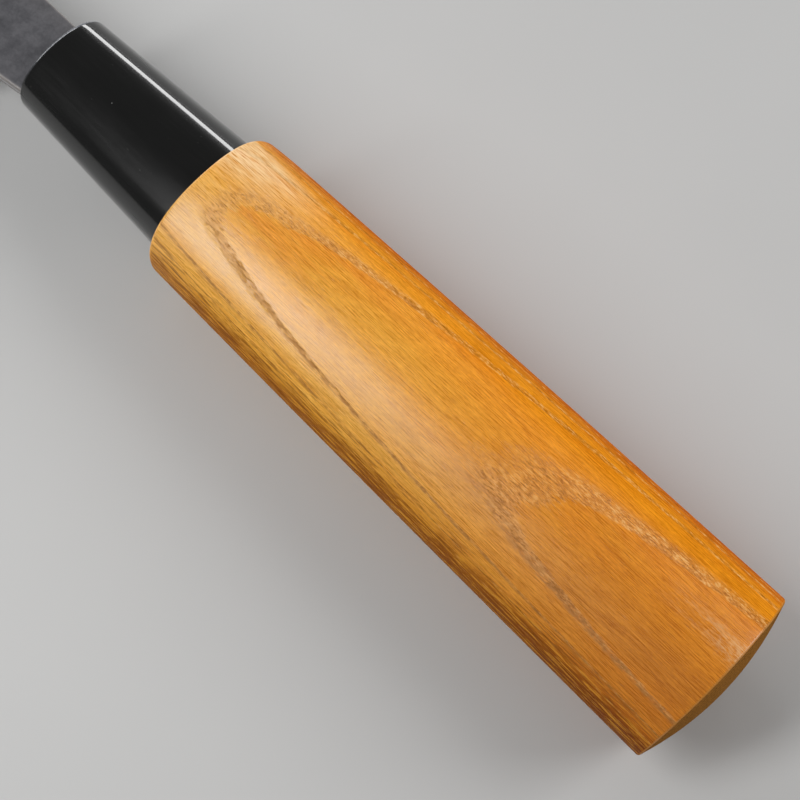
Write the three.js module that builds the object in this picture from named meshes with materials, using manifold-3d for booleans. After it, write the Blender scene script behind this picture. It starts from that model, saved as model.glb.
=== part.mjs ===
// Petty knife: three-layer blade with a hidden tang, black oval ferrule, oval wooden handle.
// Millimetres, +Z up. The knife lies on its right side: +X runs to the tip, -Y to the spine.

import * as THREE from 'three';
import Module from 'manifold-3d';

// Ferrule, from its mouth at the blade to its rear at the wood
const FERRULE_LENGTH = 27.35;
const FERRULE_MOUTH_HEIGHT = 14.4;
const FERRULE_MOUTH_THICKNESS = 12;
const FERRULE_REAR_HEIGHT = 17.5;
const FERRULE_REAR_THICKNESS = 14.5;
const FERRULE_WALL = 0.9;
const FERRULE_MOUTH_ROUND = 0.6;
const FERRULE_REAR_ROUND = 0.15;

// Wooden handle, from its shoulder at the ferrule to its butt
const WOOD_LENGTH = 84.6;
const WOOD_SHOULDER_STEP = 2;
const WOOD_SHOULDER_RUN = 1.3;
const WOOD_SHOULDER_RISE = 1.2;
const WOOD_SHOULDER_FLAT_SHARE = 0.2;
const WOOD_BUTT_HEIGHT = 24.9;
const WOOD_BUTT_THICKNESS = 20.5;
const WOOD_SWELL = 0.14;
const BUTT_DOME = 1.5;
const BUTT_SETBACK = 0.45;
const BUTT_ROUND = 0.4;

// Oval section: 2 is an ellipse, more is fuller
const OVAL_FULLNESS = 2.15;

// Joint between tenon, ferrule and tang
const GLUE_FILM = 0.3;
const FIT_GAP = 0.05;
const TENON_WALL = 0.8;
const BEDDING_WALL = 0.6;
const SEAL_DEPTH = 2.4;
const SEAL_RECESS = 0.3;

// Tang and neck
const TANG_LENGTH = 78;
const TANG_END_HEIGHT = 5;
const NECK_GAP = 0.3;
const NECK_SPINE_OFFSET = 4.5;
const NECK_HEIGHT = 10.9;
const NECK_FLARE = 0.9;
const NECK_LENGTH = 11;
const CHOIL_RADIUS = 4.6;

// Blade outline
const BLADE_LENGTH = 130;
const HEEL_HEIGHT = 27;
const HEEL_SLANT = 0.8;
const TIP_DROP = 5.5;
const TIP_BLUNT = 0.4;
const SPINE_STRAIGHT = 60;
const SPINE_TIP_REACH = 32;
const SPINE_TIP_FALL = 3.4;
const EDGE_FLAT = 58;
const EDGE_TIP_REACH = 34;
const EDGE_TIP_DEPTH = 15;

// Blade section
const SPINE_THICKNESS = 2.4;
const TIP_THICKNESS = 0.9;
const CORE_THICKNESS = 0.5;
const EDGE_THICKNESS = 0.12;
const BEVEL_HEIGHT = 10.2;
const SPINE_EASE = 0.3;

// Fineness of the curves
const OVAL_SIDES = 64;
const BLADE_STATIONS = 40;
const WOOD_STATIONS = 12;
const CHOIL_STATIONS = 8;
const ROUND_STEPS = 4;
const DOME_STEPS = 5;
const DOME_CENTRE_SHARE = 0.12;

// Places along the knife, with the ferrule's mouth at zero
const SHOULDER_X = -FERRULE_LENGTH;
const BUTT_X = SHOULDER_X - WOOD_LENGTH;
const TENON_X = -SEAL_DEPTH;
const HEEL_X = NECK_LENGTH;
const TIP_X = HEEL_X + BLADE_LENGTH;

// Sizes that follow from the fits, each going one layer further in
const BORE_HEIGHT = FERRULE_MOUTH_HEIGHT - 2 * FERRULE_WALL;
const BORE_THICKNESS = FERRULE_MOUTH_THICKNESS - 2 * FERRULE_WALL;
const FILM_ROOM = GLUE_FILM + 2 * FIT_GAP;
const TENON_HEIGHT = BORE_HEIGHT - 2 * FILM_ROOM;
const TENON_THICKNESS = BORE_THICKNESS - 2 * FILM_ROOM;
const BEDDING_ROOM = BEDDING_WALL + 2 * FIT_GAP;
const TANG_HEIGHT = TENON_HEIGHT - 2 * TENON_WALL - 2 * BEDDING_ROOM;
const WOOD_FRONT_HEIGHT = FERRULE_REAR_HEIGHT + 2 * WOOD_SHOULDER_STEP;
const WOOD_FRONT_THICKNESS = FERRULE_REAR_THICKNESS + 2 * WOOD_SHOULDER_STEP;
const SPINE_Y = -NECK_SPINE_OFFSET;
const NECK_UNDER_Y = SPINE_Y + NECK_HEIGHT;
const EDGE_Y = SPINE_Y + HEEL_HEIGHT;
const TIP_Y = SPINE_Y + TIP_DROP;

const wasm = await Module();
wasm.setup();

// Turns an indexed triangle list into a geometry.
function geometryOf(positions, triangles) {
  const geometry = new THREE.BufferGeometry();
  geometry.setAttribute('position', new THREE.Float32BufferAttribute(positions, 3));
  geometry.setIndex(triangles);
  geometry.computeVertexNormals();
  return geometry;
}

// Closes a row of rings with equal point counts into one solid with flat ends. The rings run along +X,
// and each one turns from +Y towards +Z.
function loft(rings) {
  const count = rings[0].length;
  const triangles = [];
  for (let row = 0; row < rings.length - 1; row += 1) {
    for (let k = 0; k < count; k += 1) {
      const here = row * count + k;
      const beside = row * count + ((k + 1) % count);
      triangles.push(here, beside, beside + count);
      triangles.push(here, beside + count, here + count);
    }
  }
  const last = (rings.length - 1) * count;
  for (let k = 1; k < count - 1; k += 1) {
    triangles.push(0, k + 1, k);
    triangles.push(last, last + k, last + k + 1);
  }
  const positions = rings.flat().flatMap((point) => point.toArray());
  return geometryOf(positions, triangles);
}

// The closed solid of a geometry whose vertices are already shared.
function solidOf(geometry) {
  const mesh = new wasm.Mesh({
    numProp: 3,
    vertProperties: new Float32Array(geometry.attributes.position.array),
    triVerts: new Uint32Array(geometry.index.array),
  });
  return new wasm.Manifold(mesh);
}

// One geometry with another taken out of it.
function cut(body, tool) {
  const mesh = solidOf(body).subtract(solidOf(tool)).getMesh();
  return geometryOf(Array.from(mesh.vertProperties), Array.from(mesh.triVerts));
}

// Signed power, which gives the oval its fullness.
function fullness(value) {
  return Math.sign(value) * Math.abs(value) ** (2 / OVAL_FULLNESS);
}

// Oval ring across the knife's axis.
function ovalRing(x, height, thickness) {
  const ring = [];
  for (let k = 0; k < OVAL_SIDES; k += 1) {
    const angle = (2 * Math.PI * k) / OVAL_SIDES;
    const y = (height / 2) * fullness(Math.cos(angle));
    const z = (thickness / 2) * fullness(Math.sin(angle));
    ring.push(new THREE.Vector3(x, y, z));
  }
  return ring;
}

// Rectangular ring across the knife's axis.
function boxRing(x, lowY, highY, thickness) {
  const half = thickness / 2;
  return [
    new THREE.Vector3(x, lowY, -half),
    new THREE.Vector3(x, highY, -half),
    new THREE.Vector3(x, highY, half),
    new THREE.Vector3(x, lowY, half),
  ];
}

// Quarter-round steps: how far each ring sits from the end, and how far it is drawn in.
function roundSteps(run, rise = run) {
  const steps = [];
  for (let k = 0; k <= ROUND_STEPS; k += 1) {
    const angle = (Math.PI / 2) * (k / ROUND_STEPS);
    steps.push({
      back: run * (1 - Math.sin(angle)),
      inset: rise * (1 - Math.cos(angle)),
    });
  }
  return steps;
}

// Ferrule: tapered oval sleeve with both outer edges rounded and a straight oval bore.
function ferrule() {
  const outer = (x, inset) => {
    const share = -x / FERRULE_LENGTH;
    const height = THREE.MathUtils.lerp(FERRULE_MOUTH_HEIGHT, FERRULE_REAR_HEIGHT, share);
    const thickness = THREE.MathUtils.lerp(FERRULE_MOUTH_THICKNESS, FERRULE_REAR_THICKNESS, share);
    return ovalRing(x, height - 2 * inset, thickness - 2 * inset);
  };
  const rear = roundSteps(FERRULE_REAR_ROUND).reverse();
  const mouth = roundSteps(Math.min(FERRULE_MOUTH_ROUND, FERRULE_WALL));
  const body = loft([
    ...rear.map(({ back, inset }) => outer(SHOULDER_X + back, inset)),
    ...mouth.map(({ back, inset }) => outer(-back, inset)),
  ]);
  const bore = loft([
    ovalRing(SHOULDER_X - FERRULE_WALL, BORE_HEIGHT, BORE_THICKNESS),
    ovalRing(FERRULE_WALL, BORE_HEIGHT, BORE_THICKNESS),
  ]);
  return cut(body, bore);
}

// Film of glue between the ferrule's bore and the tenon.
function ferruleGlue() {
  const sleeve = (lowX, highX, gap) => loft([
    ovalRing(lowX, BORE_HEIGHT - 2 * gap, BORE_THICKNESS - 2 * gap),
    ovalRing(highX, BORE_HEIGHT - 2 * gap, BORE_THICKNESS - 2 * gap),
  ]);
  const rearX = SHOULDER_X + FIT_GAP;
  const frontX = TENON_X - FIT_GAP;
  const inner = FIT_GAP + GLUE_FILM;
  return cut(sleeve(rearX, frontX, FIT_GAP), sleeve(rearX - GLUE_FILM, frontX + GLUE_FILM, inner));
}

// Height of the tang at a place along it.
function tangHeight(x) {
  return THREE.MathUtils.lerp(TANG_HEIGHT, TANG_END_HEIGHT, -x / TANG_LENGTH);
}

// Tapered block around the tang, grown by a margin on every side and at its end.
function tangBlock(margin, frontX) {
  const endX = -TANG_LENGTH;
  const ring = (x, height) => boxRing(x, -height / 2, height / 2, SPINE_THICKNESS + 2 * margin);
  return loft([
    ring(endX - margin, tangHeight(endX) + 2 * margin),
    ring(frontX, tangHeight(frontX) + 2 * margin),
  ]);
}

// How much of the shoulder's rounding each point of an oval ring takes: all of it at the spine and edge
// sides, little on the two flat sides.
function shoulderShares() {
  const shares = [];
  for (let k = 0; k < OVAL_SIDES; k += 1) {
    const sideways = Math.cos((2 * Math.PI * k) / OVAL_SIDES) ** 4;
    shares.push(THREE.MathUtils.lerp(WOOD_SHOULDER_FLAT_SHARE, 1, sideways));
  }
  return shares;
}

// How far each point of the butt's edge sits back from its furthest line: most at the spine and edge sides.
function buttSetbacks() {
  const setbacks = [];
  for (let k = 0; k < OVAL_SIDES; k += 1) {
    setbacks.push(BUTT_SETBACK * Math.cos((2 * Math.PI * k) / OVAL_SIDES) ** 2);
  }
  return setbacks;
}

// Wooden body with its tenon, and the slot that takes the bedded tang.
function handle() {
  const front = new THREE.Vector2(WOOD_FRONT_HEIGHT, WOOD_FRONT_THICKNESS);
  const butt = new THREE.Vector2(WOOD_BUTT_HEIGHT, WOOD_BUTT_THICKNESS);
  const evenMiddle = front.clone().add(butt).divideScalar(2);
  const swollenMiddle = evenMiddle.clone().addScalar(2 * WOOD_SWELL);
  const pull = swollenMiddle.clone().multiplyScalar(2).sub(evenMiddle);
  const side = new THREE.QuadraticBezierCurve(front, pull, butt);
  const outer = (x, inset) => {
    const size = side.getPoint((SHOULDER_X - x) / WOOD_LENGTH);
    return ovalRing(x, size.x - 2 * inset, size.y - 2 * inset);
  };
  const setbacks = buttSetbacks();
  const rings = [];
  for (let k = DOME_STEPS; k >= 1; k -= 1) {
    const share = 1 - (k / DOME_STEPS) * (1 - DOME_CENTRE_SHARE);
    const height = WOOD_BUTT_HEIGHT - 2 * BUTT_ROUND;
    const thickness = WOOD_BUTT_THICKNESS - 2 * BUTT_ROUND;
    const ring = ovalRing(BUTT_X - BUTT_DOME * (1 - share ** 2), height * share, thickness * share);
    ring.forEach((point, n) => point.setX(point.x + setbacks[n] * share ** 2));
    rings.push(ring);
  }
  for (const { back, inset } of roundSteps(BUTT_ROUND).reverse()) {
    rings.push(setbacks.map((setback, n) => outer(BUTT_X + back + setback, inset)[n]));
  }
  const firstX = BUTT_X + BUTT_ROUND;
  const lastX = SHOULDER_X - WOOD_SHOULDER_RUN;
  for (let k = 1; k < WOOD_STATIONS; k += 1) {
    rings.push(outer(THREE.MathUtils.lerp(firstX, lastX, k / WOOD_STATIONS), 0));
  }
  const shoulderRise = Math.min(WOOD_SHOULDER_RISE, WOOD_SHOULDER_STEP);
  for (const { back, inset } of roundSteps(WOOD_SHOULDER_RUN, shoulderRise)) {
    rings.push(shoulderShares().map((share, k) => outer(SHOULDER_X - back * share, inset * share)[k]));
  }
  rings.push(ovalRing(SHOULDER_X, TENON_HEIGHT, TENON_THICKNESS));
  rings.push(ovalRing(TENON_X, TENON_HEIGHT, TENON_THICKNESS));
  return cut(loft(rings), tangBlock(BEDDING_ROOM, TENON_X + BEDDING_WALL));
}

// Hardened adhesive around the tang, a tapered pocket open towards the blade.
function tangBedding() {
  const frontX = TENON_X - FIT_GAP;
  return cut(tangBlock(FIT_GAP + BEDDING_WALL, frontX), tangBlock(FIT_GAP, frontX + BEDDING_WALL));
}

// Fill that closes the ferrule's mouth around the tang.
function mouthSeal() {
  const plug = loft([
    ovalRing(TENON_X + FIT_GAP, BORE_HEIGHT - 2 * FIT_GAP, BORE_THICKNESS - 2 * FIT_GAP),
    ovalRing(-SEAL_RECESS, BORE_HEIGHT - 2 * FIT_GAP, BORE_THICKNESS - 2 * FIT_GAP),
  ]);
  return cut(plug, tangBlock(FIT_GAP, FIT_GAP));
}

// Half of the blade's thickness: even along the tang and neck, then a straight taper to the tip.
function halfThickness(x) {
  const share = Math.max(0, (x - HEEL_X) / BLADE_LENGTH);
  return THREE.MathUtils.lerp(SPINE_THICKNESS, TIP_THICKNESS, share) / 2;
}

// Stations along the tang and neck, each a plain bar from the spine to the underside.
function barStations() {
  const bar = (x, spineY, underY) => {
    const spine = new THREE.Vector2(x, spineY);
    const under = new THREE.Vector2(x, underY);
    const grind = new THREE.Vector2(x, underY - CORE_THICKNESS);
    const edgeHalf = CORE_THICKNESS / 2;
    return { spine, shoulder: under, coreLine: under, grind, edge: under, edgeHalf };
  };
  const tang = (x) => bar(x, -tangHeight(x) / 2, tangHeight(x) / 2);
  const choilY = NECK_UNDER_Y + NECK_FLARE;
  const underside = new THREE.CubicBezierCurve(
    new THREE.Vector2(NECK_GAP, NECK_UNDER_Y),
    new THREE.Vector2(HEEL_X - CHOIL_RADIUS, choilY),
    new THREE.Vector2(HEEL_X, choilY),
    new THREE.Vector2(HEEL_X, choilY + CHOIL_RADIUS),
  );
  const stations = [tang(-TANG_LENGTH), tang(0)];
  for (let k = 0; k <= CHOIL_STATIONS; k += 1) {
    const under = underside.getPoint(k / CHOIL_STATIONS);
    stations.push(bar(under.x, SPINE_Y, under.y));
  }
  return stations;
}

// Stations along the ground blade, where the bevel runs from the shoulder line to the edge.
function bladeStations() {
  const spineCurve = new THREE.CubicBezierCurve(
    new THREE.Vector2(HEEL_X + HEEL_SLANT, SPINE_Y),
    new THREE.Vector2(HEEL_X + SPINE_STRAIGHT, SPINE_Y),
    new THREE.Vector2(TIP_X - SPINE_TIP_REACH, TIP_Y - SPINE_TIP_FALL),
    new THREE.Vector2(TIP_X, TIP_Y - TIP_BLUNT / 2),
  );
  const edgeCurve = new THREE.CubicBezierCurve(
    new THREE.Vector2(HEEL_X + HEEL_SLANT, EDGE_Y),
    new THREE.Vector2(HEEL_X + EDGE_FLAT, EDGE_Y),
    new THREE.Vector2(TIP_X - EDGE_TIP_REACH, TIP_Y + EDGE_TIP_DEPTH),
    new THREE.Vector2(TIP_X, TIP_Y + TIP_BLUNT / 2),
  );
  const bevelShare = BEVEL_HEIGHT / HEEL_HEIGHT;
  const stations = [];
  for (let k = 0; k <= BLADE_STATIONS; k += 1) {
    const spine = spineCurve.getPoint(k / BLADE_STATIONS);
    const edge = edgeCurve.getPoint(k / BLADE_STATIONS);
    const shoulder = edge.clone().lerp(spine, bevelShare);
    const edgeHalf = EDGE_THICKNESS / 2;
    const coreShare = (CORE_THICKNESS / 2 - edgeHalf) / (halfThickness(shoulder.x) - edgeHalf);
    const coreLine = edge.clone().lerp(shoulder, coreShare);
    stations.push({ spine, shoulder, coreLine, grind: coreLine, edge, edgeHalf });
  }
  return stations;
}

// A point of the blade's plan at a height above the blade's middle plane.
function lifted(point, z) {
  return new THREE.Vector3(point.x, point.y, z);
}

// Hard core: an even plate that is ground down to the cutting edge below the core line.
function bladeCore(stations) {
  const half = CORE_THICKNESS / 2;
  const rings = stations.map(({ spine, grind, edge, edgeHalf }) => [
    lifted(spine, -half),
    lifted(grind, -half),
    lifted(edge, -edgeHalf),
    lifted(edge, edgeHalf),
    lifted(grind, half),
    lifted(spine, half),
  ]);
  return loft(rings);
}

// Outer layer on one side: flat above the shoulder line, bevelled down to the core below it.
function bladeCladding(stations, side) {
  const inner = CORE_THICKNESS / 2;
  const rings = stations.map(({ spine, shoulder, coreLine }) => {
    const eased = spine.clone();
    eased.y += Math.min(SPINE_EASE, (shoulder.y - spine.y) / 2);
    const outerZ = halfThickness(spine.x);
    const easedZ = Math.max(outerZ - SPINE_EASE, (outerZ + inner) / 2);
    const ring = [
      lifted(spine, side * inner),
      lifted(coreLine, side * inner),
      lifted(shoulder, side * halfThickness(shoulder.x)),
      lifted(eased, side * halfThickness(eased.x)),
      lifted(spine, side * easedZ),
    ];
    return side > 0 ? ring : ring.reverse();
  });
  return loft(rings);
}

// A named mesh with its own finish.
function piece(name, geometry, color, roughness, metalness) {
  const material = new THREE.MeshStandardMaterial({ color, roughness, metalness });
  const mesh = new THREE.Mesh(geometry, material);
  mesh.name = name;
  return mesh;
}

const stations = [...barStations(), ...bladeStations()];

const blade = new THREE.Group();
blade.add(piece('blade_core', bladeCore(stations), '#8b8d90', 0.3, 1));
blade.add(piece('blade_cladding_left', bladeCladding(stations, 1), '#515257', 0.55, 0.8));
blade.add(piece('blade_cladding_right', bladeCladding(stations, -1), '#515257', 0.55, 0.8));

const grip = new THREE.Group();
grip.add(piece('handle', handle(), '#cd8a3c', 0.42, 0));
grip.add(piece('ferrule', ferrule(), '#1b1b1a', 0.18, 0));
grip.add(piece('ferrule_glue', ferruleGlue(), '#c9b98a', 0.5, 0));
grip.add(piece('tang_bedding', tangBedding(), '#b9a878', 0.5, 0));
grip.add(piece('mouth_seal', mouthSeal(), '#222120', 0.45, 0));

const knife = new THREE.Group();
knife.add(blade, grip);

// The origin lies under the middle of the knife, on the surface that it lies on.
const box = new THREE.Box3().setFromObject(knife);
const middle = box.getCenter(new THREE.Vector3());
knife.position.set(-middle.x, -middle.y, -box.min.z);

export default knife;
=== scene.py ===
"""Looks of the petty knife: meshes, finishes, floor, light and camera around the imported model."""

import logging
import math
from dataclasses import dataclass, field
from enum import Enum

import bmesh
import bpy
from mathutils import Euler, Matrix, Quaternion, Vector


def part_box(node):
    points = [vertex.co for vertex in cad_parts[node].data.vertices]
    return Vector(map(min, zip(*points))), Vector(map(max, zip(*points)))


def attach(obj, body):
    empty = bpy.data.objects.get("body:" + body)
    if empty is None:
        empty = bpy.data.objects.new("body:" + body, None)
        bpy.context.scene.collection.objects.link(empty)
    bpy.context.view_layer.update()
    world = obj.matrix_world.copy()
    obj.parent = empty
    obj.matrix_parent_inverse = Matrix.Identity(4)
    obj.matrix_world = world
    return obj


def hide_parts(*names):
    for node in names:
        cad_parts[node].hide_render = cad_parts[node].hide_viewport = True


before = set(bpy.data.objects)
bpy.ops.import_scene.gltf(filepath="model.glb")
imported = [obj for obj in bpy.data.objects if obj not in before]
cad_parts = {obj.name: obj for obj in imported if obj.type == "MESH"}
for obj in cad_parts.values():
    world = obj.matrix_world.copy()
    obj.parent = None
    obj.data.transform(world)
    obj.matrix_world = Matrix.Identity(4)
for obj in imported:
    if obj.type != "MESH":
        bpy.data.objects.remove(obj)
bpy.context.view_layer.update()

MM = 0.001
LOG = logging.getLogger("petty_knife")

Point = tuple[float, float, float]


class Node(Enum):
    """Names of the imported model's nodes."""

    CORE = "blade_core"
    LEFT = "blade_cladding_left"
    RIGHT = "blade_cladding_right"
    HANDLE = "handle"
    FERRULE = "ferrule"
    GLUE = "ferrule_glue"
    BEDDING = "tang_bedding"
    SEAL = "mouth_seal"


class Slot(Enum):
    """Material slots of the record."""

    CORE = "core_steel"
    CLADDING = "cladding_steel"
    WOOD = "wood"
    RESIN = "black_resin"
    SEAL = "seal"


class Side(Enum):
    """The two sides of the blade, as signs of the height above its middle plane."""

    LEFT = 1
    RIGHT = -1


def mix(low: float, high: float, share: float) -> float:
    """Value at a share of the way from low to high."""
    return low + (high - low) * share


class Signal:
    """Output socket of a node, on which Python's operators add Math nodes."""

    def __init__(self, sheet: "NodeSheet", socket: bpy.types.NodeSocket) -> None:
        """Keeps the socket and the sheet it lies on."""
        self.sheet = sheet
        self.socket = socket

    def math(self, operation: str, *feeds: "Signal | float") -> "Signal":
        """Adds one Math node with its inputs in order, and hands back its output."""
        sockets = dict(enumerate(feeds))
        return self.sheet.node("ShaderNodeMath", {"operation": operation}, sockets)

    def __add__(self, other: "Signal | float") -> "Signal":
        """This plus another."""
        return self.math("ADD", self, other)

    def __radd__(self, other: float) -> "Signal":
        """A number plus this."""
        return self.math("ADD", other, self)

    def __sub__(self, other: "Signal | float") -> "Signal":
        """This less another."""
        return self.math("SUBTRACT", self, other)

    def __rsub__(self, other: float) -> "Signal":
        """A number less this."""
        return self.math("SUBTRACT", other, self)

    def __mul__(self, other: "Signal | float") -> "Signal":
        """This times another."""
        return self.math("MULTIPLY", self, other)

    def __rmul__(self, other: float) -> "Signal":
        """A number times this."""
        return self.math("MULTIPLY", other, self)

    def __truediv__(self, other: "Signal | float") -> "Signal":
        """This divided by another."""
        return self.math("DIVIDE", self, other)

    def __abs__(self) -> "Signal":
        """This without its sign."""
        return self.math("ABSOLUTE", self)

    def fract(self) -> "Signal":
        """The part of this after the decimal point, counted upwards."""
        return self.math("FLOORED_MODULO", self, 1.0)

    def below(self, limit: float) -> "Signal":
        """One where this is less than a limit, otherwise nought."""
        return self.math("LESS_THAN", self, limit)

    def capped(self) -> "Signal":
        """This held between nought and one."""
        return self.rise(0.0, 1.0, "LINEAR")

    def rise(self, low: float, high: float, kind: str = "SMOOTHSTEP") -> "Signal":
        """Nought up to a low value, one from a high value, and a slope between them.

        Args:
            low: Where the slope starts.
            high: Where the slope ends.
            kind: The Map Range node's interpolation.

        Returns:
            The sloped signal.
        """
        return self.sheet.node(
            "ShaderNodeMapRange",
            {"interpolation_type": kind, "clamp": True},
            {"Value": self, "From Min": low, "From Max": high},
        )


class NodeSheet:
    """A material's or world's nodes, with one method that adds any of them."""

    MIX_FACTOR = 0
    MIX_A = 6
    MIX_B = 7
    MIX_RESULT = 2

    def __init__(self, owner: bpy.types.Material | bpy.types.World) -> None:
        """Empties the owner's node tree.

        Args:
            owner: The material or world to draw on.
        """
        owner.use_nodes = True
        self.tree = owner.node_tree
        self.tree.nodes.clear()

    def node(
        self,
        kind: str,
        settings: dict[str, object] | None = None,
        sockets: dict[str | int, object] | None = None,
        output: str | int = 0,
    ) -> Signal:
        """Adds a node, sets it, then feeds its sockets.

        Args:
            kind: The node's type.
            settings: The node's own properties.
            sockets: Values or signals by socket name or number.
            output: The output socket to hand back.

        Returns:
            The chosen output.
        """
        made = self.tree.nodes.new(kind)
        for name, value in (settings or {}).items():
            setattr(made, name, value)
        for key, value in (sockets or {}).items():
            socket = made.inputs[key]
            if isinstance(value, Signal):
                self.tree.links.new(value.socket, socket)
            elif isinstance(value, tuple) and socket.type == "RGBA":
                socket.default_value = (*value, 1.0)
            else:
                socket.default_value = value
        return Signal(self, made.outputs[output] if made.outputs else None)

    def place(self, centre: Vector) -> Signal:
        """Place on the piece in millimetres from a point of the row frame.

        Args:
            centre: The point, in metres.

        Returns:
            The place as a vector signal.
        """
        spot = self.node("ShaderNodeTexCoord", output="Object")
        from_centre = self.vector("SUBTRACT", spot, tuple(centre))
        return self.vector("MULTIPLY", from_centre, (1 / MM, 1 / MM, 1 / MM))

    def facing(self) -> tuple[Signal, Signal, Signal]:
        """The surface's normal in the row frame, axis by axis."""
        return self.split(self.node("ShaderNodeTexCoord", output="Normal"))

    def vector(self, operation: str, first: Signal, second: Signal | Point) -> Signal:
        """Adds a Vector Math node on two vectors."""
        return self.node("ShaderNodeVectorMath", {"operation": operation}, {0: first, 1: second})

    def split(self, vector: Signal) -> tuple[Signal, Signal, Signal]:
        """The three parts of a vector."""
        made = self.node("ShaderNodeSeparateXYZ", sockets={0: vector}).socket.node
        return tuple(Signal(self, made.outputs[axis]) for axis in "XYZ")

    def blend(self, factor: Signal | float, low: Signal | Point, high: Signal | Point) -> Signal:
        """Mixes two colours by the share of the second."""
        sockets = {self.MIX_FACTOR: factor, self.MIX_A: low, self.MIX_B: high}
        return self.node("ShaderNodeMix", {"data_type": "RGBA"}, sockets, self.MIX_RESULT)

    def tinted(self, colour: Signal | Point, tint: Signal | Point, factor: Signal | float = 1.0) -> Signal:
        """Multiplies a colour by a tint.

        Args:
            colour: The colour.
            tint: What it is multiplied by.
            factor: Share of the multiplied colour.

        Returns:
            The tinted colour.
        """
        settings = {"data_type": "RGBA", "blend_type": "MULTIPLY"}
        sockets = {self.MIX_FACTOR: factor, self.MIX_A: colour, self.MIX_B: tint}
        return self.node("ShaderNodeMix", settings, sockets, self.MIX_RESULT)

    def grey(self, level: Signal) -> Signal:
        """A grey colour of a given level."""
        return self.node("ShaderNodeCombineXYZ", sockets={0: level, 1: level, 2: level})

    def stretched(self, place: Signal, reach: Point) -> Signal:
        """A place measured in steps of their own length on each axis, in millimetres."""
        return self.vector("MULTIPLY", place, tuple(1 / step for step in reach))

    def noise(self, place: Signal, reach: Point, detail: float = 2.0, rough: float = 0.5) -> Signal:
        """Soft noise, drawn out along the axes.

        Args:
            place: Place in millimetres.
            reach: Rough size of a patch on each axis, in millimetres.
            detail: Octaves of finer noise.
            rough: Weight of each finer octave.

        Returns:
            Noise about a half.
        """
        sockets = {
            "Vector": self.stretched(place, reach),
            "Scale": 1.0,
            "Detail": detail,
            "Roughness": rough,
        }
        return self.node("ShaderNodeTexNoise", sockets=sockets)

    def cells(self, place: Signal, reach: Point) -> tuple[Signal, Signal]:
        """Scattered long cells.

        Args:
            place: Place in millimetres.
            reach: Size of a cell on each axis, in millimetres.

        Returns:
            Distance from the nearest cell's middle, and a number of that cell's own.
        """
        sockets = {"Vector": self.stretched(place, reach), "Scale": 1.0}
        distance = self.node("ShaderNodeTexVoronoi", sockets=sockets, output="Distance")
        colour = Signal(self, distance.socket.node.outputs["Color"])
        return distance, self.split(colour)[0]

    def bump(self, height: Signal, depth: float, strength: float = 1.0) -> Signal:
        """Normal of a surface from a height of nought to one, with that one's depth in metres."""
        sockets = {"Strength": strength, "Distance": depth, "Height": height}
        return self.node("ShaderNodeBump", sockets=sockets)

    def surface(self, sockets: dict[str, object], matte: Signal | None = None) -> None:
        """Ends a material in a Principled shader, or in a mix of it with the same one without gloss.

        Args:
            sockets: Values or signals for the shader's sockets.
            matte: Share of the surface without gloss, if any of it is.
        """
        shader = self.node("ShaderNodeBsdfPrincipled", sockets=sockets)
        if matte is not None:
            plain = self.node("ShaderNodeBsdfPrincipled", sockets=sockets | {"Specular IOR Level": 0.0})
            shader = self.node("ShaderNodeMixShader", sockets={0: matte, 1: shader, 2: plain})
        self.node("ShaderNodeOutputMaterial", sockets={"Surface": shader})


class Finish:
    """A procedural finish that is made into a material once."""

    name = "finish"

    def material(self, centre: Vector) -> bpy.types.Material:
        """Makes the material.

        Args:
            centre: Point of the row frame that the pattern starts from.

        Returns:
            The material.
        """
        made = bpy.data.materials.new(self.name)
        self.paint(NodeSheet(made), centre)
        return made

    def paint(self, sheet: NodeSheet, centre: Vector) -> None:
        """Draws the finish on an empty sheet, starting from a point of the row frame."""
        raise NotImplementedError


@dataclass(frozen=True)
class WoodMap:
    """Signals that several parts of the wood's finish share. Places are in millimetres."""

    place: Signal
    along: Signal
    across: Signal
    spineward: Signal
    edge_face: Signal
    spine_face: Signal
    butt_face: Signal
    fibre: Signal
    streak: Signal
    patch: Signal
    fine: Signal
    layer: Signal
    early: Signal
    tone: Signal


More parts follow.
